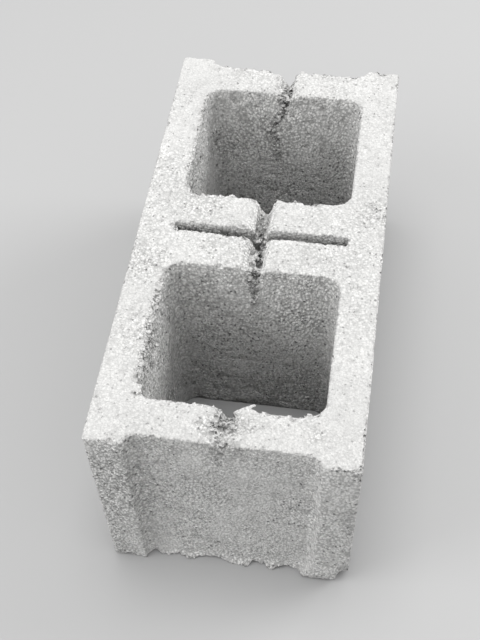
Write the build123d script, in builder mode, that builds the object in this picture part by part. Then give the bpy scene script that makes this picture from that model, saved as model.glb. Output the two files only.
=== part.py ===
# Hollow concrete block of the splitting kind: two open cells, recessed ends, and a double
# centre web with a kerf down its middle, so that the block breaks cleanly into two halves.
# It stands as it leaves the mould, with the wide mouths of its cells upwards.
# The origin is the centre of the foot, with +Z up and +Y along the block. Millimetres.
from build123d import *

import math
import os

# Outside of the block, 10 mm under its 400 x 200 x 200 module for the mortar joints
length = 390.0
width = 190.0
height = 190.0
arris_radius = 2.0  # on the upright corners of the mould

# Concrete round the cells, measured at the top, where the cores are widest
face_shell = 29.0
end_web = 31.0
centre_leaf = 32.75  # one half of the centre web
cell_corner_radius = 13.0
core_draft = 3.0  # what a wall of a cell gains in thickness from the top to the foot

# Kerf between the leaves of the centre web, from face shell to face shell
kerf_width = 7.5
kerf_overrun = 1.5  # how far it cuts into each face shell, past the walls of the cells
kerf_draft = 0.5

# Ears at the four corners, with the mortar recess between them
ear_width = 27.0
ear_flank = 3.5  # width of the slope between an ear and the cove at its foot
recess_depth = 7.5
recess_corner_radius = 9.0  # of that cove, which runs out into the recess

# Groove that the core bar leaves across the webs. Its shoulders are crumbled, its sides
# steep and its bottom pointed. It is deepest in the centre web. Through the near end web
# it runs out, because the concrete fell back into it there as the bar was lifted.
groove_mouth = 20.0
groove_width = 11.0
groove_waist = 9.0
centre_groove_depth = 19.5
far_groove_depth = 17.0
near_groove_depth = 16.0
near_groove_runout = 4.0  # depth that is left where the groove meets the near end
shoulder_share = 0.24  # of the depth at any place, down to the foot of the shoulders
waist_share = 0.6  # of the depth at any place, down to where the sides turn in

# Dip where the top of the near end web sagged into its cell before the concrete set
sag_middle = 36.0  # across the block, from its middle
sag_width = 33.0
sag_depth = 3.0  # at the edge of the cell
sag_reach = 8.0  # from that edge into the web

# Spall on the near lip of the kerf, left of the groove
spall_middle = -18.5
spall_width = 15.0
spall_depth = 2.5
spall_reach = 3.0

# Bite knocked out of the foot at the near right corner, with a sloping ledge over it
chip_radius = 10.0
chip_ledge_radius = 7.5
chip_ledge_height = 28.0
chip_height = 37.0

cell_width = width - 2 * face_shell
cell_outer_wall = length / 2 - recess_depth - end_web
cell_inner_wall = kerf_width / 2 + centre_leaf
cell_length = cell_outer_wall - cell_inner_wall
cell_middle = (cell_outer_wall + cell_inner_wall) / 2
top = Plane.XY.offset(height)


def draft_angle(gain):
    """Angle, in degrees, of a wall that gains this much over the height of the block."""
    return math.degrees(math.atan(gain / height))


def groove_section(along, depth):
    """Section of the groove at this distance along the block, with this depth."""
    with BuildSketch(Plane.XZ.offset(-along)) as section:
        with BuildLine():
            Polyline(
                (0, height),
                (groove_mouth / 2, height),
                (groove_width / 2, height - shoulder_share * depth),
                (groove_waist / 2, height - waist_share * depth),
                (0, height - depth),
            )
            mirror(about=Plane.YZ)
        make_face()
    return section.sketch


def dip_section(middle, edge, width, depth, reach):
    """Half section of a shallow conical dip in the top, and the axis to revolve it about.

    It is this wide and deep at the edge, and runs out to nothing at its reach behind it.
    """
    radius = (width**2 / 4 + depth**2) / (2 * depth)
    axis_height = height - depth + radius
    with BuildSketch(Plane.YZ.offset(middle)) as section:
        with BuildLine():
            Polyline(
                (edge + reach, axis_height),
                (edge - reach, axis_height),
                (edge - reach, height),
                (edge + reach, height - 2 * depth),
                close=True,
            )
        make_face()
    return section.sketch, Axis((middle, 0, axis_height), (0, 1, 0))


with BuildPart() as concrete_block:
    # Outline of the mould, with a recess at each end
    with BuildSketch() as outline:
        Rectangle(width, length)
        with PolarLocations(length / 2, 2, start_angle=90):
            Trapezoid(
                width - 2 * ear_width,
                recess_depth,
                math.degrees(math.atan2(recess_depth, ear_flank)),
                rotation=90,
                align=(Align.CENTER, Align.MIN),
                mode=Mode.SUBTRACT,
            )
        rows = outline.vertices().group_by(Axis.Y)
        fillet(rows[1] + rows[-2], radius=recess_corner_radius)
        rows = outline.vertices().group_by(Axis.Y)
        fillet(rows[0] + rows[-1], radius=arris_radius)
    extrude(amount=height)

    # Cells, which narrow towards the foot
    with BuildSketch(top):
        with Locations((0, cell_middle), (0, -cell_middle)):
            RectangleRounded(cell_width, cell_length, cell_corner_radius)
    extrude(amount=-height, taper=draft_angle(core_draft), mode=Mode.SUBTRACT)

    # Kerf, right through the centre web
    with BuildSketch(top):
        Rectangle(cell_width + 2 * kerf_overrun, kerf_width)
    extrude(amount=-height, taper=draft_angle(kerf_draft), mode=Mode.SUBTRACT)

    # Groove of the core bar, through the centre web, the far end web and the near end web
    extrude(
        groove_section(0, centre_groove_depth),
        amount=cell_middle,
        both=True,
        mode=Mode.SUBTRACT,
    )
    loft(
        [
            groove_section(cell_middle, far_groove_depth),
            groove_section(length / 2, far_groove_depth),
        ],
        mode=Mode.SUBTRACT,
    )
    loft(
        [
            groove_section(-cell_outer_wall + core_draft, near_groove_depth),
            groove_section(-length / 2, near_groove_runout),
        ],
        mode=Mode.SUBTRACT,
    )

    # Dips in the top, at the edge of the near cell and at the near lip of the kerf
    dips = [
        (sag_middle, -cell_outer_wall, sag_width, sag_depth, sag_reach),
        (spall_middle, -kerf_width / 2, spall_width, spall_depth, spall_reach),
    ]
    for dip in dips:
        section, axis = dip_section(*dip)
        revolve(section, axis=axis, mode=Mode.SUBTRACT)

    # Chipped corner
    with BuildSketch(Plane((width / 2, -length / 2, 0), x_dir=(1, 0, 0), z_dir=(0, -1, 0))):
        with BuildLine():
            Polyline(
                (0, 0),
                (chip_radius, 0),
                (chip_ledge_radius, chip_ledge_height),
                (0, chip_height),
                close=True,
            )
        make_face()
    revolve(axis=Axis((width / 2, -length / 2, 0), (0, 0, 1)), mode=Mode.SUBTRACT)

concrete_block.part.label = "concrete_block"
os.makedirs("parts", exist_ok=True)
export_step(concrete_block.part, "parts/concrete_block.step")
print("volume in litres:", round(concrete_block.part.volume / 1e6, 3))
print("size:", concrete_block.part.bounding_box().size)
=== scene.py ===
import math

import bmesh
import bpy
import numpy as np
from mathutils import Matrix, Vector
from mathutils.kdtree import KDTree


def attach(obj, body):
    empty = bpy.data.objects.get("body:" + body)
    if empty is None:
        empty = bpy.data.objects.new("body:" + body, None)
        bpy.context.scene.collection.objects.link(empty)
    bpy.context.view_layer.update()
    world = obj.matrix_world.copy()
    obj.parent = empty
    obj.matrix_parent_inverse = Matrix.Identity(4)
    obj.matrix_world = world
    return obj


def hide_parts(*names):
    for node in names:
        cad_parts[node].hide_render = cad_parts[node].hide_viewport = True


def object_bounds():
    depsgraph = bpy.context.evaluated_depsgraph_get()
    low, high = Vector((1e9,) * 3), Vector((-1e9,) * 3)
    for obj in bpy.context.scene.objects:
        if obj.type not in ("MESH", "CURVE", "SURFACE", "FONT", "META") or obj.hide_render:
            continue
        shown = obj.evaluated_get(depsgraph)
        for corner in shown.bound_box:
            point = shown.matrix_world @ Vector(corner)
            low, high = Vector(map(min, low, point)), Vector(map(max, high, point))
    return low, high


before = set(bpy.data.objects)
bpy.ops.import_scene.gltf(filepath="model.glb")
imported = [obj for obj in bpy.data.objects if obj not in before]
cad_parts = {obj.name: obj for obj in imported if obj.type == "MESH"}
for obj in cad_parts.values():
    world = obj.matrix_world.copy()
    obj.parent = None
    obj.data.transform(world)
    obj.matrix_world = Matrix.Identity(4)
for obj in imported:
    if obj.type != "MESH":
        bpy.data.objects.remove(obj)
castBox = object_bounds()
mm = 0.001

# Outside of the block, in the frame's own place
low, high = castBox
topZ = high.z
halfWidth = high.x
halfLength = high.y

# How the mould shapes it
mould = {
    "recessDepth": 7.5 * mm,
    "coreDraft": 3 * mm,  # what a wall of a cell gains in thickness from the top to the foot
}

# Pairs of limits, here and below, give where something starts and where it is full
surface = {
    "seed": 4,
    "voxel": 0.85 * mm,
    "quickVoxel": 1.3 * mm,
    "smoothingRounds": 2,  # which take the steps off the voxels
    "mostTriangles": 198000,
    "sparing": 0.98,  # weight of worn edges and torn faces, 1 elsewhere, when triangles are thinned
    "sparingFactor": 0.01,
    "sparingReach": 12 * mm,  # how far from the top, the foot and the ends edges are spared
    "sparedEdge": 0.04,
    "sparedTornness": 0.15,
    "waviness": 0.25 * mm,
    "waveSize": 38 * mm,
    "waveLevel": 0.9,  # nearly all of the waves lie under the mould's own face
    "pits": 3200,
    "pitRadius": (0.9 * mm, 2.3 * mm),
    "pitProud": (0.0, 0.6),  # of its radius, how far the ball that presses a pit stands out
    "edgeChips": 420,
    "chipRadius": (1.6 * mm, 4.5 * mm),
    "chipProud": (0.35, 0.75),
    "smallness": 2.2,  # over 1, most pits and chips are small
}

# Crumbs of wet concrete that the core bar and the cores tore out, with radii in millimetres
crumbs = {
    "radius": (0.9, 2.0),
    "wallRadius": (0.9, 1.7),
    "stretch": (0.65, 1.25),
    "unevenness": (0.8, 1.15),
    "spread": (1, 0.5, 0.6),  # of a torn place's scatter, across the block, along it and up
    "sunk": 0.8,  # of its radius, how far its middle stays under the top
    "crowding": 1.4,  # over 1, more of them lie at the start of a torn place
    "climb": 1.5,  # over 1, more of them lie near the top of a wall
}

# Flake of concrete left standing over the edge of the near cell
flake = {
    "base": 3.6 * mm,
    "tip": 1.5 * mm,
    "length": 17 * mm,
    "middle": (11.5 * mm, -156.5 * mm, 186.6 * mm),
    "towards": (0.77, 0.64, 0.03),
}

# How the outer edges crumble
crumbling = {
    "softeningRounds": 12,  # of smoothing, for the shape that worn edges tend to
    "sharpness": (0.08 * mm, 0.4 * mm),  # what smoothing takes off a flat face and off an edge
    "rounding": 0.25,  # share of that shape that every edge has
    "grainRounding": (0.1, 0.8),  # what wear adds to it everywhere, and grain by grain
    "mostRounding": 0.9,
    "grain": 3.4 * mm,
    "least": 0.01,  # under which nothing is changed
    "bite": 1.4 * mm,
    "coarseBites": (3.3 * mm, 2),  # size, and over 1, most of them are shallow
    "fineBites": (1.9 * mm, 1.5),
}

# How the concrete spread at the foot, where it was squeezed out under the mould
foot = {
    "height": 80 * mm,  # nothing above it is changed
    "skin": (-5 * mm, -0.5 * mm),  # depth of the ragged edge behind the outer faces
    "ears": (58 * mm, 66 * mm),  # distance from the middle, across the block
    "nearEnd": (-140 * mm, -180 * mm),  # along the block
    "raggedness": 2.4 * mm,
    "earRaggedness": 0.8 * mm,
    "raggedHeight": (1 * mm, 15 * mm),
    "jagStretch": 0.2,  # under 1, jags are drawn out upwards
    "fineJags": (0.15, 2.2 * mm),  # share of the raggedness, and size
    "coarseJags": (0.3, 4.4 * mm),
    "lobes": (0.55, 11 * mm),
    "lobeEdge": (-0.5, 0.6),
    "burr": 5.6 * mm,  # how far it stands out from the recesses at most
    "burrHeight": 9 * mm,
    "burrTaper": 1.5,
    "burrGaps": 0.12,  # over 0, the burr is broken here and there
    "burrEnds": (68 * mm, 60 * mm),  # distance from the middle, across the block
    "burrDepth": (3.5 * mm, 0.5 * mm),  # behind the face of the recess
    "lean": 11 * mm,  # of the near right flank towards the recess, right at the foot
    "leanHeight": 15 * mm,
    "leanDepth": (12 * mm, 9 * mm),  # behind the plane of the ears
    "leanInside": (28 * mm, 56 * mm),  # across the block
    "leanOutside": (86 * mm, 70 * mm),
    "lift": 3.0 * mm,  # under the near right ear, at its outer side
    "liftReach": (67 * mm, 86 * mm),
}


def readVertices(mesh, field):
    values = np.empty(len(mesh.vertices) * 3)
    mesh.vertices.foreach_get(field, values)
    return values.reshape(-1, 3)


def writePoints(mesh, points):
    mesh.vertices.foreach_set("co", points.ravel())
    mesh.update()


def addObject(name, data):
    obj = bpy.data.objects.new(name, data)
    bpy.context.scene.collection.objects.link(obj)
    return obj


def withModifier(mesh, kind, kept=None, **settings):
    # A new mesh: this one after one modifier, which may spare the kept points
    obj = addObject("workpiece", mesh)
    if kept is not None:
        group = obj.vertex_groups.new(name="wear")
        group.add(np.flatnonzero(~kept).tolist(), 1.0, "REPLACE")
        group.add(np.flatnonzero(kept).tolist(), surface["sparing"], "REPLACE")
    modifier = obj.modifiers.new(kind.lower(), kind)
    for name, value in settings.items():
        setattr(modifier, name, value)
    graph = bpy.context.evaluated_depsgraph_get()
    result = bpy.data.meshes.new_from_object(obj.evaluated_get(graph))
    bpy.data.objects.remove(obj)
    return result


def unevenness(points, size, seed):
    # Smooth random values from -1 to 1 that change over this size, and repeat after 64 of them
    lattice = np.random.default_rng(seed).uniform(-1, 1, (64, 64, 64))
    place = points / size
    cell = np.floor(place).astype(int)
    part = place - cell
    part = part * part * (3 - 2 * part)
    total = np.zeros(len(points))
    for corner in np.ndindex(2, 2, 2):
        index = (cell + corner) % 64
        weight = np.prod(np.where(corner, part, 1 - part), axis=1)
        total += weight * lattice[index[:, 0], index[:, 1], index[:, 2]]
    return total


def brokenGrains(points, size, seed):
    # One random value from 0 to 1 for each angular grain of this size. They repeat after 32.
    rng = np.random.default_rng(seed)
    offsets = rng.uniform(0, 1, (32, 32, 32, 3))
    values = rng.uniform(0, 1, (32, 32, 32))
    place = points / size
    cell = np.floor(place).astype(int)
    part = place - cell
    nearest = np.full(len(points), np.inf)
    result = np.zeros(len(points))
    for step in np.ndindex(3, 3, 3):
        shift = np.array(step) - 1
        index = (cell + shift) % 32
        key = (index[:, 0], index[:, 1], index[:, 2])
        distance = np.sum((offsets[key] + shift - part) ** 2, axis=1)
        closer = distance < nearest
        nearest[closer] = distance[closer]
        result[closer] = values[key][closer]
    return result


def ramp(values, start, end):
    # 0 at the start, 1 at the end, and smooth between
    t = np.clip((values - start) / (end - start), 0, 1)
    return t * t * (3 - 2 * t)


# Where the core bar tore the concrete: crumbs choke the groove, and pits trail down the wall
# along a path, in millimetres. Dark is how much of the face is lost there, which the material
# shows as painted shade in the gaps between crumbs. How far the pits and the dark gaps spread
# from the path is given in shares of the width.
tornPitSpread = (1, 0.2)
tornSpread = (1.25, 0.5)
tornReach = 1.3
tornPlaces = {
    "farWebCellSide": {
        "path": [(-1, 158, 186), (-0.5, 157, 172), (-7, 156.3, 157), (-14, 156.2, 149),
                 (-8, 156, 138), (-6, 156, 112)],
        "stones": 75, "scatter": 2.2, "pits": 110, "width": 4.2, "dark": 0.85,
    },
    "farWebOuterSide": {
        "path": [(1, 185, 171), (1, 187, 163), (3, 187.5, 150), (2, 187.5, 132)],
        "stones": 30, "scatter": 2.0, "pits": 50, "width": 4.5, "dark": 0.6,
    },
    "farLeafKerf": {
        "path": [(-1, 9, 170), (0, 4, 171), (1, -1, 168), (0, -6, 170)],
        "stones": 60, "scatter": 2.4, "pits": 40, "width": 5.5, "dark": 0.8,
    },
    "farLeafCellSide": {
        "path": [(0, 36.5, 168), (-2, 36.6, 150), (-1, 36.8, 138)],
        "stones": 10, "scatter": 2.0, "pits": 40, "width": 4.0, "dark": 0.6,
    },
    "nearLeafCellSide": {
        "path": [(-1, -32, 181), (-1, -35.5, 184), (-1.5, -36.6, 174), (0.5, -36.8, 162),
                 (0, -37, 148)],
        "stones": 80, "scatter": 2.0, "pits": 90, "width": 3.8, "dark": 1.0,
    },
    "farLeafGroove": {
        "path": [(-2, 7, 175), (-3, 17, 176), (-1, 26, 171)],
        "stones": 45, "scatter": 2.4, "pits": 60, "width": 6.5, "dark": 0.75,
    },
    "nearLeafGroove": {
        "path": [(0, -8, 174), (-2, -16, 180), (-1.5, -25, 182.5), (-1, -34, 182)],
        "stones": 120, "scatter": 2.4, "pits": 70, "width": 6.5, "dark": 0.7,
    },
    "nearWebTop": {
        "path": [(1, -167, 181), (0, -173, 184), (-2, -180, 186), (1, -187, 187)],
        "stones": 200, "scatter": 3.6, "pits": 300, "width": 13.0, "dark": 0.62,
    },
    "nearWebCellSide": {
        "path": [(2, -156.4, 174), (5, -156.2, 160), (1, -156, 146)],
        "stones": 14, "scatter": 2.2, "pits": 50, "width": 4.5, "dark": 0.6,
    },
    "nearWebOuterSide": {
        "path": [(0, -187.5, 184), (-3, -187.5, 170), (-5, -187.5, 155), (-14, -187.5, 142)],
        "stones": 0, "scatter": 2.4, "pits": 40, "width": 4.5, "dark": 0.3,
    },
    # The kerf's walls: real pits, and painted shade in their gaps that darkens the deep slot
    "kerf": {
        "path": [(-64, 0, 176), (64, 0, 176)],
        "stones": 0, "scatter": 2.0, "pits": 120, "width": 9.0, "dark": 0.8,
    },
    "farWebGroove": {
        "path": [(-0.5, 157, 184), (0, 165, 183), (1, 175, 179), (1.5, 184, 174)],
        "stones": 150, "scatter": 2.6, "pits": 70, "width": 6.0, "dark": 0.5,
    },
}

# Patches with more pits than elsewhere, in millimetres, and how open their surface is, which also sets
# the painted shade in their pores. How far that spreads from the middle is given in shares of the
# radius.
patchPitSpread = (0.2, 1)  # from where most pits are to where there are none
patchSpread = (1.1, 0.3)
porousPatches = {
    "leftShell": {"middle": (-84, -40, 190), "radius": 24, "pits": 170, "openness": 1.0},
    "rightShell": {"middle": (86, 30, 190), "radius": 20, "pits": 110, "openness": 1.0},
    "nearRight": {"middle": (62, -172, 190), "radius": 7, "pits": 26, "openness": 1.0},
    "nearWebLeft": {"middle": (-14, -173, 189), "radius": 9, "pits": 50, "openness": 1.3},
    "nearWebRight": {"middle": (14, -171, 189), "radius": 8, "pits": 34, "openness": 1.2},
    "leftRim": {"middle": (-64, -105, 184), "radius": 30, "pits": 220, "openness": 0.8},
    # real pits on the near left flank, and painted shade: more openness darkens a band along the flank
    # beside the left ear
    "leftFlankPitsAndShade": {"middle": (-62, -190, 120), "radius": 60, "pits": 170, "openness": 0.4},
    "farLeaf": {"middle": (-50, 25, 190), "radius": 26, "pits": 90, "openness": 0.9},
    "leftMiddle": {"middle": (-80, 40, 190), "radius": 70, "pits": 120, "openness": 0.55},
    "nearLeaf": {"middle": (-20, -20, 190), "radius": 40, "pits": 60, "openness": 0.5},
    "rightMiddle": {"middle": (78, -20, 190), "radius": 90, "pits": 120, "openness": 0.55},
    "farEnd": {"middle": (10, 175, 190), "radius": 80, "pits": 80, "openness": 0.5},
}

# Walls of the cells where the core dragged grains out of the concrete, from one corner to the
# other in millimetres. Most pits are near the top.
dragHeight = (118 * mm, 175 * mm)
leastDrag = 0.05
dragMargin = (1.5 * mm, 1.5 * mm, 1.5 * mm)
dragMarginInside = (4 * mm, 1.5 * mm, 1.5 * mm)  # the wall comes in towards the foot
draggedWalls = {
    "nearCellLeft": {"from": (-66, -144, 122), "to": (-66, -50, 188), "pits": 700, "crumbs": 420},
    "farCellLeft": {"from": (-66, 50, 122), "to": (-66, 144, 188), "pits": 600, "crumbs": 360},
}

# How worn each edge is: 0.3 is nearly as the mould left it, 1.5 is broken and jagged.
# Chips are bitten out along it, with radii and scatter in millimetres.
otherWear = 0.7
edgeReach = (9 * mm, 4 * mm)  # where the wear of an edge starts, and where it is full
edgeChipProud = (0.2, 0.6)
edgeChipScatter = 0.8
edges = {
    "nearCellFarRim": {"from": (-60, -36.5, 190), "to": (60, -36.5, 190), "wear": 0.25},
    "nearCellRightRim": {"from": (66, -140, 190), "to": (66, -50, 190), "wear": 0.5},
    "nearCellLeftRim": {"from": (-66, -145, 190), "to": (-66, -55, 190), "wear": 1.3,
                        "chips": 26, "radii": (1.5, 3.4)},
    "nearCellNearRimLeft": {"from": (-52, -156.5, 190), "to": (-12, -157, 190), "wear": 1.3,
                            "chips": 14, "radii": (1.2, 2.6)},
    "nearCellNearRimRight": {"from": (18, -157, 187.5), "to": (58, -157, 188.5), "wear": 1.5,
                             "chips": 18, "radii": (1.4, 3.0)},
    "farCellFarRim": {"from": (-55, 156.5, 190), "to": (55, 156.5, 190), "wear": 0.35},
    "farCellLeftRim": {"from": (-66, 55, 190), "to": (-66, 140, 190), "wear": 1.1,
                       "chips": 14, "radii": (1.6, 3.6)},
    "farCellNearRimLeft": {"from": (-60, 37, 190), "to": (-12, 37, 190), "wear": 1.1,
                           "chips": 13, "radii": (2.2, 4.4)},
    "farCellNearRimRight": {"from": (9, 37, 190), "to": (42, 37, 190), "wear": 1.0,
                            "chips": 8, "radii": (2.0, 4.0)},
    "kerfFarLip": {"from": (-64, 4, 190), "to": (64, 4, 190), "wear": 0.35},
    "kerfNearLip": {"from": (-64, -4, 190), "to": (64, -4, 190), "wear": 0.8},
    "kerfSpall": {"from": (-28, -5.5, 188.5), "to": (-9, -6, 188.5), "wear": 1.4,
                  "chips": 12, "radii": (1.4, 3.0)},
    "kerfLeftEnd": {"from": (-68, 0, 190), "to": (-62, -4, 190), "wear": 1.0,
                    "chips": 4, "radii": (1.6, 2.6)},
    "frontEdge": {"from": (-56, -187.5, 190), "to": (56, -187.5, 190), "wear": 0.5},
    "leftTopEdge": {"from": (-95, -190, 190), "to": (-95, 190, 190), "wear": 0.3},
    "rightTopEdge": {"from": (95, -140, 190), "to": (95, 175, 190), "wear": 0.5},
    "rightNearCorner": {"from": (95, -195, 45), "to": (95, -195, 188), "wear": 1.1,
                        "chips": 14, "radii": (1.4, 2.8)},
    "rightNearTop": {"from": (95.5, -190, 188), "to": (95.5, -150, 191), "wear": 1.0,
                     "chips": 8, "radii": (1.8, 3.2)},
    "farEdgeRight": {"from": (8, 188.5, 190), "to": (62, 188, 190), "wear": 0.8,
                     "chips": 16, "radii": (2.2, 4.0)},
    "farEdgeLeft": {"from": (-50, 188.5, 190), "to": (-14, 187, 190), "wear": 0.8,
                    "chips": 9, "radii": (2.2, 3.8)},
    "farRightEar": {"from": (78, 196, 190), "to": (84, 195, 190), "wear": 1.3,
                    "chips": 3, "radii": (4.0, 6.0)},
    "frontFoot": {"from": (-90, -190, 0), "to": (90, -190, 0), "wear": 0.9,
                  "chips": 36, "radii": (1.0, 2.4)},
    "leftEarCorner": {"from": (-68, -195, 12), "to": (-68, -195, 184), "wear": 0.3},
    "rightEarCorner": {"from": (68, -195, 20), "to": (68, -195, 184), "wear": 0.45},
    "flake": {"from": (6, -161, 189), "to": (17, -152, 189), "wear": 0.2},
}

# Places where the top sank while it was wet, in millimetres
sunkenHeight = 14 * mm  # how far under the top it still shows
sunkenFade = (1.15, 0.1)  # in squared shares of its reach
sunkenPlaces = {
    "cellCorner": {"middle": (-61, -155, 190), "reach": (9, 5), "depth": 2.2},
    "leftShoulder": {"middle": (-11, 24, 190), "reach": (7, 14), "depth": 1.6},
    "nearWebLeft": {"middle": (-12, -166, 190), "reach": (10, 13), "depth": 1.4},
    "leftRim": {"middle": (-65, -100, 190), "reach": (6.5, 50), "depth": 2.6},
    "farLeftShoulder": {"middle": (-10, 188, 190), "reach": (9, 9), "depth": 3.5},
    "rightEarTop": {"middle": (70, -195, 190), "reach": (5, 6), "depth": 2.0},
}


def endsOf(facts):
    # Both ends of an edge, or opposite corners of a wall, in metres
    return np.array(facts["from"]) * mm, np.array(facts["to"]) * mm


def stone(bm, rng, place, radius):
    # One angular crumb of concrete, part of the mesh until the surface is cast
    made = bmesh.ops.create_icosphere(bm, subdivisions=1, radius=radius)
    stretch = Vector(rng.uniform(*crumbs["stretch"], 3))
    turn = Matrix.Rotation(rng.uniform(0, math.tau), 3, Vector(rng.normal(size=3)).normalized())
    for vert in made["verts"]:
        vert.co = turn @ (vert.co * stretch) * rng.uniform(*crumbs["unevenness"]) + Vector(place)


def alongPath(path, share):
    # The place at this share of the way along a path of straight runs
    points = np.array(path, float) * mm
    steps = np.linalg.norm(np.diff(points, axis=0), axis=1)
    travelled = np.concatenate([[0], np.cumsum(steps)])
    return np.array([np.interp(share * travelled[-1], travelled, points[:, k]) for k in range(3)])


pathSteps = 24  # places along a path from which distances are taken


def fromPath(points, path, reach):
    # Distance of each point within reach of the path, and the share of the way along it
    corners = np.array(path, float) * mm
    around = np.all((points > corners.min(0) - reach) & (points < corners.max(0) + reach), axis=1)
    close = np.flatnonzero(around)
    nearest = np.full(len(points), np.inf)
    share = np.zeros(len(points))
    for step in np.linspace(0, 1, pathSteps):
        distance = np.linalg.norm(points[close] - alongPath(path, step), axis=1)
        closer = distance < nearest[close]
        nearest[close[closer]] = distance[closer]
        share[close[closer]] = step
    return nearest, share


def wallPlace(rng, wall):
    # A random place on this wall, which comes in towards the foot
    start, end = endsOf(wall)
    share = rng.random(3)
    share[2] = 1 - share[2] ** crumbs["climb"]
    place = start + (end - start) * share
    place[0] += mould["coreDraft"] * (1 - place[2] / topZ)
    return place


def castSurface():
    rng = np.random.default_rng(surface["seed"])
    bm = bmesh.new()
    bm.from_mesh(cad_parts["concrete_block"].data)
    bmesh.ops.remove_doubles(bm, verts=bm.verts, dist=1e-6)
    for torn in tornPlaces.values():
        for k in range(torn["stones"]):
            place = alongPath(torn["path"], rng.random() ** crumbs["crowding"])
            scatter = torn["scatter"] * mm
            place += rng.normal(size=3) * (scatter * np.array(crumbs["spread"]))
            radius = rng.uniform(*crumbs["radius"]) * mm
            place[2] = min(place[2], topZ - radius * crumbs["sunk"])
            stone(bm, rng, place, radius)
    for wall in draggedWalls.values():
        for k in range(wall["crumbs"]):
            place = wallPlace(rng, wall)
            stone(bm, rng, place, rng.uniform(*crumbs["wallRadius"]) * mm)
    made = bmesh.ops.create_cone(bm, segments=6, radius1=flake["base"], radius2=flake["tip"],
                                 depth=flake["length"], cap_ends=True)
    lean = Vector(flake["towards"]).to_track_quat("Z", "Y").to_matrix()
    for vert in made["verts"]:
        vert.co = lean @ vert.co + Vector(flake["middle"])
    rough = bpy.data.meshes.new("rough")
    bm.to_mesh(rough)
    bm.free()
    voxel = surface["voxel"]
    stepped = withModifier(rough, "REMESH", mode="VOXEL", voxel_size=voxel, adaptivity=0)
    skin = withModifier(stepped, "SMOOTH", factor=0.5, iterations=surface["smoothingRounds"])
    print("cast surface:", len(skin.vertices), "points")
    return skin


def searchTree(points):
    tree = KDTree(len(points))
    for index, point in enumerate(points):
        tree.insert(point, index)
    tree.balance()
    return tree


def bite(points, tree, centre, radius):
    # Presses the surface out of a ball, which leaves a dent or a chip
    for place, index, distance in tree.find_range(centre, radius):
        if distance > 0:
            points[index] = np.array(centre) + (np.array(place) - centre) * (radius / distance)


def bites(points, normals, rng, chosen, radii, proud):
    # A dent at each chosen point. Its ball stands proud of the surface by a share of its radius.
    tree = searchTree(points)
    for index in chosen:
        radius = radii[0] + (radii[1] - radii[0]) * rng.random() ** surface["smallness"]
        bite(points, tree, points[index] + normals[index] * radius * rng.uniform(*proud), radius)


def sink(points):
    nearTop = ramp(points[:, 2], topZ - sunkenHeight, topZ)
    for place in sunkenPlaces.values():
        x, y = np.array(place["middle"][:2]) * mm
        reachX, reachY = np.array(place["reach"]) * mm  # across the block and along it
        away = ((points[:, 0] - x) / reachX) ** 2 + ((points[:, 1] - y) / reachY) ** 2
        points[:, 2] -= place["depth"] * mm * ramp(away, *sunkenFade) * nearTop


def wearOf(points):
    # How worn the nearest edge is
    wear = np.full(len(points), otherWear)
    for edge in edges.values():
        start, end = endsOf(edge)
        run = end - start
        share = np.clip((points - start) @ run / (run @ run), 0, 1)
        away = np.linalg.norm(points - start - share[:, None] * run, axis=1)
        wear += (edge["wear"] - wear) * ramp(away, *edgeReach)
    return wear


def crumbleEdges(skin, points, normals):
    seed = surface["seed"]
    wear = wearOf(points)
    soft = withModifier(skin.copy(), "SMOOTH", factor=0.5, iterations=crumbling["softeningRounds"])
    softening = readVertices(soft, "co") - readVertices(skin, "co")
    sharpness = -np.sum(softening * normals, axis=1)  # over zero on outer edges
    outer = ramp(sharpness, *crumbling["sharpness"])
    waves = unevenness(points, surface["waveSize"], seed + 3)
    relief = surface["waviness"] * (waves - surface["waveLevel"])
    edge = np.flatnonzero(outer > crumbling["least"])
    everywhere, byGrain = crumbling["grainRounding"]
    lost = everywhere + byGrain * brokenGrains(points[edge], crumbling["grain"], seed + 1) ** 2
    rounding = np.minimum(crumbling["rounding"] + wear[edge] * lost, crumbling["mostRounding"])
    points[edge] += softening[edge] * (outer[edge] * rounding)[:, None]
    bitten = np.zeros(len(edge))
    for name, offset in (("coarseBites", 4), ("fineBites", 5)):
        size, smallness = crumbling[name]
        bitten += crumbling["bite"] * brokenGrains(points[edge], size, seed + offset) ** smallness
    relief[edge] -= bitten * outer[edge] * wear[edge]
    points += normals * np.minimum(relief, 0)[:, None]
    return outer * wear ** 2  # how broken each point is, and so how likely to be chipped


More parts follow.
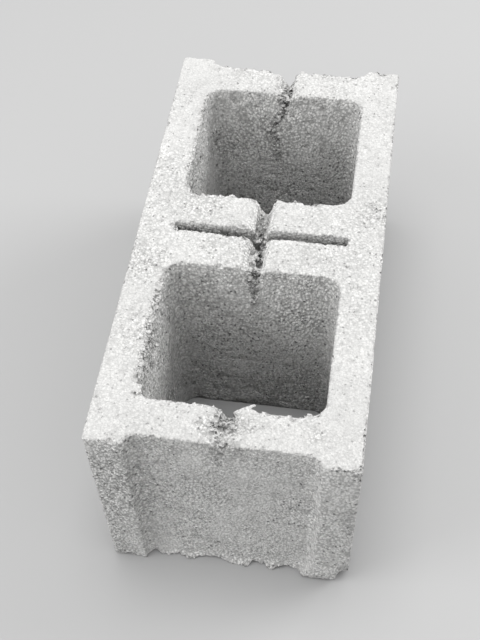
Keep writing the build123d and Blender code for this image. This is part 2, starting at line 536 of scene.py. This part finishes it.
def raggedFoot(points):
    # The foot edge is ragged all round. In the recesses a burr stands out from it, and the flank
    # of the near right ear leans over it.
    seed = surface["seed"]
    near = np.flatnonzero(points[:, 2] < foot["height"])
    part = points[near]
    x, height = part[:, 0], part[:, 2]  # these go with the points as they are moved
    drawnOut = part * (1, 1, foot["jagStretch"])
    jags = np.zeros(len(part))
    for name, offset in (("fineJags", 9), ("coarseJags", 8)):
        share, size = foot[name]
        jags += share * brokenGrains(drawnOut, size, seed + offset)
    share, size = foot["lobes"]
    jags += share * ramp(unevenness(part, size, seed + 6), *foot["lobeEdge"])

    recess = mould["recessDepth"]
    outside = np.maximum(np.abs(x) - halfWidth, np.abs(part[:, 1]) - halfLength + recess)
    nearSide = ramp(outside, *foot["skin"])
    onEars = ramp(np.abs(x), *foot["ears"])
    amount = foot["raggedness"] + (foot["earRaggedness"] - foot["raggedness"]) * onEars
    lift = amount * 2 * (1 - jags) ** 2
    nearEnd = ramp(part[:, 1], *foot["nearEnd"])
    lift += foot["lift"] * ramp(x, *foot["liftReach"]) * nearEnd
    part[:, 2] += lift * (1 - ramp(height, *foot["raggedHeight"])) * nearSide

    end = np.sign(part[:, 1])
    depth = halfLength - np.abs(part[:, 1])  # behind the plane of the ears
    fade, full = foot["burrDepth"]
    onWall = ramp(depth, recess + fade, recess + full)
    between = ramp(np.abs(x), *foot["burrEnds"])
    thin = ramp(height, foot["burrHeight"], 0) ** foot["burrTaper"]
    burr = foot["burr"] * (jags - foot["burrGaps"])
    part[:, 1] += end * np.clip(burr * thin * onWall * between, 0, np.maximum(depth, 0))

    lean = foot["lean"] * np.exp(-height / foot["leanHeight"]) * nearEnd
    reached = ramp(depth, *foot["leanDepth"]) * ramp(x, *foot["leanInside"])
    lean *= reached * ramp(x, *foot["leanOutside"])
    part[:, 0] -= lean
    points[near] = part


def wearSurface(skin):
    seed = surface["seed"]
    rng = np.random.default_rng(seed + 50)
    points = readVertices(skin, "co")
    normals = readVertices(skin, "normal")
    sink(points)
    outer = crumbleEdges(skin, points, normals)
    raggedFoot(points)
    print("crumbled edges")

    chipped = rng.choice(len(points), surface["edgeChips"], replace=False, p=outer / outer.sum())
    bites(points, normals, rng, chipped, surface["chipRadius"], surface["chipProud"])
    tree = searchTree(points)
    for edge in edges.values():
        start, end = endsOf(edge)
        for k in range(edge.get("chips", 0)):
            share = (k + rng.random()) / edge["chips"]
            shift = rng.normal(size=3) * edgeChipScatter * mm
            index = tree.find(start + (end - start) * share + shift)[1]
            radius = rng.uniform(*edge["radii"]) * mm
            proud = normals[index] * radius * rng.uniform(*edgeChipProud)
            bite(points, tree, points[index] + proud, radius)
    print("chipped edges")

    pitted = list(rng.choice(len(points), surface["pits"], replace=False))
    for patch in porousPatches.values():
        chance = 1 - ramp(fromPatch(points, patch), *patchPitSpread)
        pitted += list(rng.choice(len(points), patch["pits"], replace=False, p=chance / chance.sum()))
    for wall in draggedWalls.values():
        onWall = np.flatnonzero(dragged(points, wall))
        weight = ramp(points[onWall, 2], *dragHeight) + leastDrag
        pitted += list(rng.choice(onWall, wall["pits"], replace=False, p=weight / weight.sum()))
    for torn in tornPlaces.values():
        away, share = fromPath(points, torn["path"], tornReach * torn["width"] * mm)
        fade, full = tornPitSpread
        chance = ramp(away, fade * torn["width"] * mm, full * torn["width"] * mm) * (1.1 - share)
        pitted += list(rng.choice(len(points), torn["pits"], replace=False, p=chance / chance.sum()))
    bites(points, normals, rng, pitted, surface["pitRadius"], surface["pitProud"])
    print("pitted faces")

    writePoints(skin, points)
    reach = surface["sparingReach"]
    height = points[:, 2]
    rim = (height > topZ - reach) | (height < reach) | (np.abs(points[:, 1]) > halfLength - reach)
    kept = rim & (outer > surface["sparedEdge"]) | (tornness(points) > surface["sparedTornness"])
    for wall in draggedWalls.values():
        kept |= dragged(points, wall)
    return skin, kept


def dragged(points, wall):
    # Which points lie on this wall
    start, end = endsOf(wall)
    return np.all((points > start - dragMargin) & (points < end + dragMarginInside), axis=1)


def fromPatch(points, patch):
    # Distance from the middle of a porous patch, in shares of its radius
    return np.linalg.norm(points - np.array(patch["middle"]) * mm, axis=1) / (patch["radius"] * mm)


def tornness(points):
    # How much of the face is lost, which the material paints as shade in its gaps: most along a torn
    # place's path, and less towards its end
    worst = np.zeros(len(points))
    for torn in tornPlaces.values():
        width = torn["width"] * mm
        away, share = fromPath(points, torn["path"], tornReach * width)
        fade, full = tornSpread
        lost = torn["dark"] * ramp(away, fade * width, full * width) * (1 - 0.5 * share)
        worst = np.maximum(worst, lost)
    return worst


def porousness(points):
    # How open the face is: most in the middle of a porous patch
    most = np.zeros(len(points))
    for patch in porousPatches.values():
        most = np.maximum(most, patch["openness"] * ramp(fromPatch(points, patch), *patchSpread))
    return most


class Recipe:
    # Adds nodes to a material or to the air, one line for each
    def __init__(self, owner, shader):
        owner.use_nodes = True
        self.tree = owner.node_tree
        self.shader = self.tree.nodes[shader]

    def add(self, kind, settings=None, **sockets):
        node = self.tree.nodes.new("ShaderNode" + kind)
        for name, value in (settings or {}).items():
            setattr(node, name, value)
        for name, value in sockets.items():
            self.plug(node, name, value)
        return node

    def plug(self, node, name, value):
        socket = node.inputs[int(name[2:])] if name.startswith("in") else node.inputs[name]
        if isinstance(value, bpy.types.NodeSocket):
            self.tree.links.new(value, socket)
        else:
            socket.default_value = value

    def maths(self, operation, first, second, third=0.0):
        node = self.add("Math", {"operation": operation}, in0=first, in1=second, in2=third)
        return node.outputs[0]

    def remap(self, value, fromLow, fromHigh, toLow, toHigh, kind="LINEAR"):
        limits = {"From Min": fromLow, "From Max": fromHigh, "To Min": toLow, "To Max": toHigh}
        node = self.add("MapRange", {"interpolation_type": kind}, Value=value, **limits)
        return node.outputs["Result"]

    def clouds(self, place, size, detail):
        node = self.add("TexNoise", Vector=place, Scale=1 / size, Detail=detail, Roughness=0.6)
        return node.outputs["Fac"]

    def grains(self, place, size):
        return self.add("TexVoronoi", Vector=place, Scale=1 / size)

    def seen(self):
        # 1 for what the camera sees, also in a mirror or through glass, and 0 for other light
        path = self.add("LightPath").outputs
        seen = self.maths("MAXIMUM", path["Is Camera Ray"], path["Is Glossy Ray"])
        return self.maths("MAXIMUM", seen, path["Is Transmission Ray"])


# Tones are shares of the colour. Edges are shares of the size, from the middle of a grain.
concreteLook = {
    "colour": (0.74, 0.737, 0.727),
    "middleTone": 0.82,  # what the grains and pores average to
    "roughness": 0.95,
    "shine": 0.2,
    "stretch": (1, 1, 0.8),  # under 1, grains are drawn out that way, as the mould dragged them
    "bend": 1.8 * mm,  # which makes the grains uneven
    "bendSize": 3 * mm,
    "grainSize": 2.1 * mm,
    "grainTones": (0.70, 1.16),  # of the darkest and the palest grain
    "grainEdge": (0.3, 0.8),
    "grainShadeTones": (1.05, 0.62),  # of its middle, and of the gap beside it, where the darker tone is painted shade
    "poreSize": 4.0 * mm,
    "poreEdge": (0.26, 0.12),
    "poreChance": (0.48, 0.58),  # about half of the places have a pore
    "poreOpenness": (0.2, 1.0),  # of a smooth face, and of an open one
    "poreShadeDarkness": (0.28, 0.6),  # painted shade in them
    "dustSize": 1.1 * mm,
    "dustTones": (0.87, 1.10),
    "gapSize": 2.9 * mm,
    "gapChance": (0.66, 0.71),  # about a third of the crumbs of a torn place are lost
    "gapEdge": (0.58, 0.8),
    # painted shade in the gaps between torn crumbs and where a crumb is lost
    "gapShadeTone": 0.22,
    "cloudSize": 45 * mm,
    "cloudRange": (0.3, 0.7),  # between which nearly all of the noise lies
    "cloudTones": (0.96, 1.04),
    "patchRange": (0.35, 0.65),
    "cloudOpenness": (0.65, 1.2),
    "addedOpenness": 0.5,  # for porous and torn places
    "topOpenness": 0.30,  # of the struck top, against the faces that the mould was drawn off
    "topSlope": (0.6, 0.9),  # upward part of a face's normal, from other faces to the top
    "reliefDepth": 1.6 * mm,
    "domeEdge": (0.1, 0.8),
    "domeRelief": 0.6,  # of the middle of a grain, as a share of that depth
    "grainRelief": 0.35,  # of grain against grain
    "dustRelief": 0.25,
}


def concrete():
    look = concreteLook
    material = bpy.data.materials.new("castConcrete")
    recipe = Recipe(material, "Principled BSDF")
    coordinates = recipe.add("TexCoord").outputs
    times = {"operation": "MULTIPLY"}
    place = recipe.add("VectorMath", times, in0=coordinates["Object"], in1=look["stretch"]).outputs[0]
    warp = recipe.add("TexNoise", Vector=place, Scale=1 / look["bendSize"], Detail=1.0).outputs["Color"]
    shift = recipe.add("VectorMath", times, in0=warp, in1=(look["bend"],) * 3).outputs[0]
    bent = recipe.add("VectorMath", {"operation": "ADD"}, in0=place, in1=shift).outputs[0]

    # Where the faces are open, torn or struck smooth
    torn = recipe.add("Attribute", {"attribute_name": "torn"}).outputs["Fac"]
    porous = recipe.add("Attribute", {"attribute_name": "porous"}).outputs["Fac"]
    upward = recipe.add("SeparateXYZ", Vector=coordinates["Normal"]).outputs["Z"]
    struck = recipe.remap(upward, *look["topSlope"], 1, look["topOpenness"], "SMOOTHSTEP")
    patches = recipe.clouds(place, look["cloudSize"], 2.0)
    patches = recipe.remap(patches, *look["patchRange"], *look["cloudOpenness"])
    # openness also sets how much painted shade the grain gaps and pores get, so faces that point up get
    # less of it
    openness = recipe.maths("MULTIPLY", struck, patches)
    openness = recipe.maths("MULTIPLY_ADD", porous, look["addedOpenness"], openness)
    openness = recipe.maths("MULTIPLY_ADD", torn, look["addedOpenness"], openness)

    # Grains of sand and grit, with pores between them. The gaps between grains and the pores are
    # darkened: painted shade.
    grain = recipe.grains(bent, look["grainSize"]).outputs
    paintedGrainShade = recipe.remap(grain["Distance"], *look["grainEdge"], *look["grainShadeTones"])
    grainTone = recipe.remap(grain["Color"], 0, 1, *look["grainTones"])
    pore = recipe.grains(bent, look["poreSize"]).outputs
    poreMask = recipe.remap(pore["Distance"], *look["poreEdge"], 0, 1, "SMOOTHSTEP")
    poreKept = recipe.remap(pore["Color"], *look["poreChance"], 0, 1)
    poreMask = recipe.maths("MULTIPLY", poreMask, poreKept)
    poreDark = recipe.remap(openness, *look["poreOpenness"], *look["poreShadeDarkness"])
    paintedPoreShade = recipe.remap(recipe.maths("MULTIPLY", poreMask, poreDark), 0, 1, 1, 0)
    dust = recipe.clouds(place, look["dustSize"], 1.0)
    dustTone = recipe.remap(dust, *look["cloudRange"], *look["dustTones"])
    tone = recipe.maths("MULTIPLY", paintedGrainShade, grainTone)
    away = recipe.maths("SUBTRACT", tone, look["middleTone"])
    tone = recipe.maths("MULTIPLY_ADD", away, openness, look["middleTone"])
    tone = recipe.maths("MULTIPLY", tone, paintedPoreShade)
    tone = recipe.maths("MULTIPLY", tone, dustTone)

    # Painted shade in the gaps between the crumbs of a torn place, and where a crumb is lost
    crumb = recipe.grains(bent, look["gapSize"]).outputs
    lost = recipe.remap(crumb["Color"], *look["gapChance"], 0, 1)
    seam = recipe.remap(crumb["Distance"], *look["gapEdge"], 0, 1)
    gap = recipe.maths("MULTIPLY", recipe.maths("MAXIMUM", lost, seam), torn)
    tone = recipe.maths("MULTIPLY", tone, recipe.remap(gap, 0, 1, 1, look["gapShadeTone"]))

    # Slow changes of tone, and the colour
    clouds = recipe.clouds(coordinates["Object"], look["cloudSize"], 4.0)
    cloudTone = recipe.remap(clouds, *look["cloudRange"], *look["cloudTones"])
    tone = recipe.maths("MULTIPLY", tone, cloudTone)
    colour = recipe.add("VectorMath", {"operation": "SCALE"}, in0=look["colour"], Scale=tone).outputs[0]
    recipe.plug(recipe.shader, "Base Color", colour)

    # The same grains and pores in relief
    height = recipe.remap(grain["Distance"], *look["domeEdge"], look["domeRelief"], 0)
    height = recipe.maths("ADD", height, recipe.maths("MULTIPLY", grain["Color"], look["grainRelief"]))
    height = recipe.maths("ADD", height, recipe.maths("MULTIPLY", dust, look["dustRelief"]))
    height = recipe.maths("SUBTRACT", height, poreMask)
    height = recipe.maths("SUBTRACT", height, gap)
    height = recipe.maths("MULTIPLY", height, openness)
    relief = recipe.add("Bump", Height=height, Distance=look["reliefDepth"])
    recipe.plug(recipe.shader, "Normal", relief.outputs["Normal"])

    recipe.plug(recipe.shader, "Roughness", look["roughness"])
    recipe.plug(recipe.shader, "Diffuse Roughness", 1.0)
    recipe.plug(recipe.shader, "Specular IOR Level", look["shine"])
    return material


def dropLooseCrumbs(mesh):
    # What came off the block while it was worn would hang in the air
    bm = bmesh.new()
    bm.from_mesh(mesh)
    waiting = set(bm.verts)
    shells = []
    while waiting:
        front = [waiting.pop()]
        shell = set(front)
        while front:
            vert = front.pop()
            for edge in vert.link_edges:
                other = edge.other_vert(vert)
                if other not in shell:
                    shell.add(other)
                    front.append(other)
        waiting -= shell
        shells.append(shell)
    shells.sort(key=len)
    loose = [vert for shell in shells[:-1] for vert in shell]
    bmesh.ops.delete(bm, geom=loose, context="VERTS")
    bm.to_mesh(mesh)
    bm.free()
    print("dropped loose crumbs:", len(shells) - 1)


def dressBlock():
    skin, kept = wearSurface(castSurface())
    share = min(1, surface["mostTriangles"] / (2 * len(skin.polygons)))
    final = withModifier(skin, "DECIMATE", kept, ratio=share, use_collapse_triangulate=True,
                         vertex_group="wear", vertex_group_factor=surface["sparingFactor"])
    dropLooseCrumbs(final)
    final.name = "block_skin"
    points = np.clip(readVertices(final, "co"), np.array(low), np.array(high))
    writePoints(final, points)
    for name, values in (("torn", tornness(points)), ("porous", porousness(points))):
        attribute = final.attributes.new(name, "FLOAT", "POINT")
        attribute.data.foreach_set("value", values.astype(np.float32))
    block = addObject("block_skin", final)
    final.polygons.foreach_set("use_smooth", [True] * len(final.polygons))
    final.materials.clear()
    final.materials.append(concrete())
    count = sum(len(p.vertices) - 2 for p in final.polygons)
    print("block skin:", count, "triangles")
    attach(block, "root")
    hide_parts("concrete_block")


# Metres and watts. Floor and air look one way to the camera and light the block in another.
studio = {
    "floorSize": 14.0,
    "floorShade": 0.43,
    "floorBounce": 0.10,
    "floorRoughness": 0.9,
    "floorShine": 0.1,
    "airLight": 0.79,
    "airShade": 0.60,
    "lampSize": 1.3,
    "lamps": {
        "leftSoftbox": {"place": (-1.7, -0.9, 1.25), "power": 15.0},
        "rightSoftbox": {"place": (1.6, 0.85, 1.25), "power": 22.0},
        "topSoftbox": {"place": (-0.1, 0.0, 2.6), "power": 32.0},
    },
}


def makeFloor():
    bm = bmesh.new()
    bmesh.ops.create_grid(bm, x_segments=1, y_segments=1, size=studio["floorSize"] / 2)
    mesh = bpy.data.meshes.new("floor")
    bm.to_mesh(mesh)
    bm.free()
    floor = addObject("floor", mesh)
    material = bpy.data.materials.new("paleFloor")
    recipe = Recipe(material, "Principled BSDF")
    shade = recipe.remap(recipe.seen(), 0, 1, studio["floorBounce"], studio["floorShade"])
    recipe.plug(recipe.shader, "Base Color", shade)
    recipe.plug(recipe.shader, "Roughness", studio["floorRoughness"])
    recipe.plug(recipe.shader, "Specular IOR Level", studio["floorShine"])
    mesh.materials.append(material)
    print("floor laid")


def makeAir():
    world = bpy.data.worlds.new("studioAir")
    bpy.context.scene.world = world
    recipe = Recipe(world, "Background")
    strength = recipe.remap(recipe.seen(), 0, 1, studio["airLight"], studio["airShade"])
    recipe.plug(recipe.shader, "Strength", strength)
    recipe.plug(recipe.shader, "Color", (1, 1, 1, 1))


def makeLamps():
    for name, facts in studio["lamps"].items():
        lamp = bpy.data.lights.new(name, "AREA")
        lamp.shape = "DISK"
        lamp.size = studio["lampSize"]
        lamp.energy = facts["power"]
        softbox = addObject(name, lamp)
        softbox.location = facts["place"]
        aim = Vector((0, 0, topZ)) - softbox.location
        softbox.rotation_euler = aim.to_track_quat("-Z", "Y").to_euler()
    print("lamps placed")


# The photo's own view, solved from the block's corners
view = {
    "place": (78.4 * mm, -521.5 * mm, 804.2 * mm),
    "aim": (-16.6 * mm, -11.6 * mm, 88.3 * mm),
    "roll": -2.47,  # degrees
    "lens": 59.0,  # millimetres
}


def makeCamera():
    data = bpy.data.cameras.new("camera")
    data.lens = view["lens"]
    camera = addObject("camera", data)
    place = Vector(view["place"])
    sight = Vector(view["aim"]) - place
    turn = sight.to_track_quat("-Z", "Y").to_matrix().to_4x4()
    roll = Matrix.Rotation(math.radians(view["roll"]), 4, "Z")
    camera.matrix_world = Matrix.Translation(place) @ turn @ roll
    bpy.context.scene.camera = camera


makeCamera()
makeFloor()
makeAir()
makeLamps()
dressBlock()

bpy.context.scene.view_settings.view_transform = "Standard"
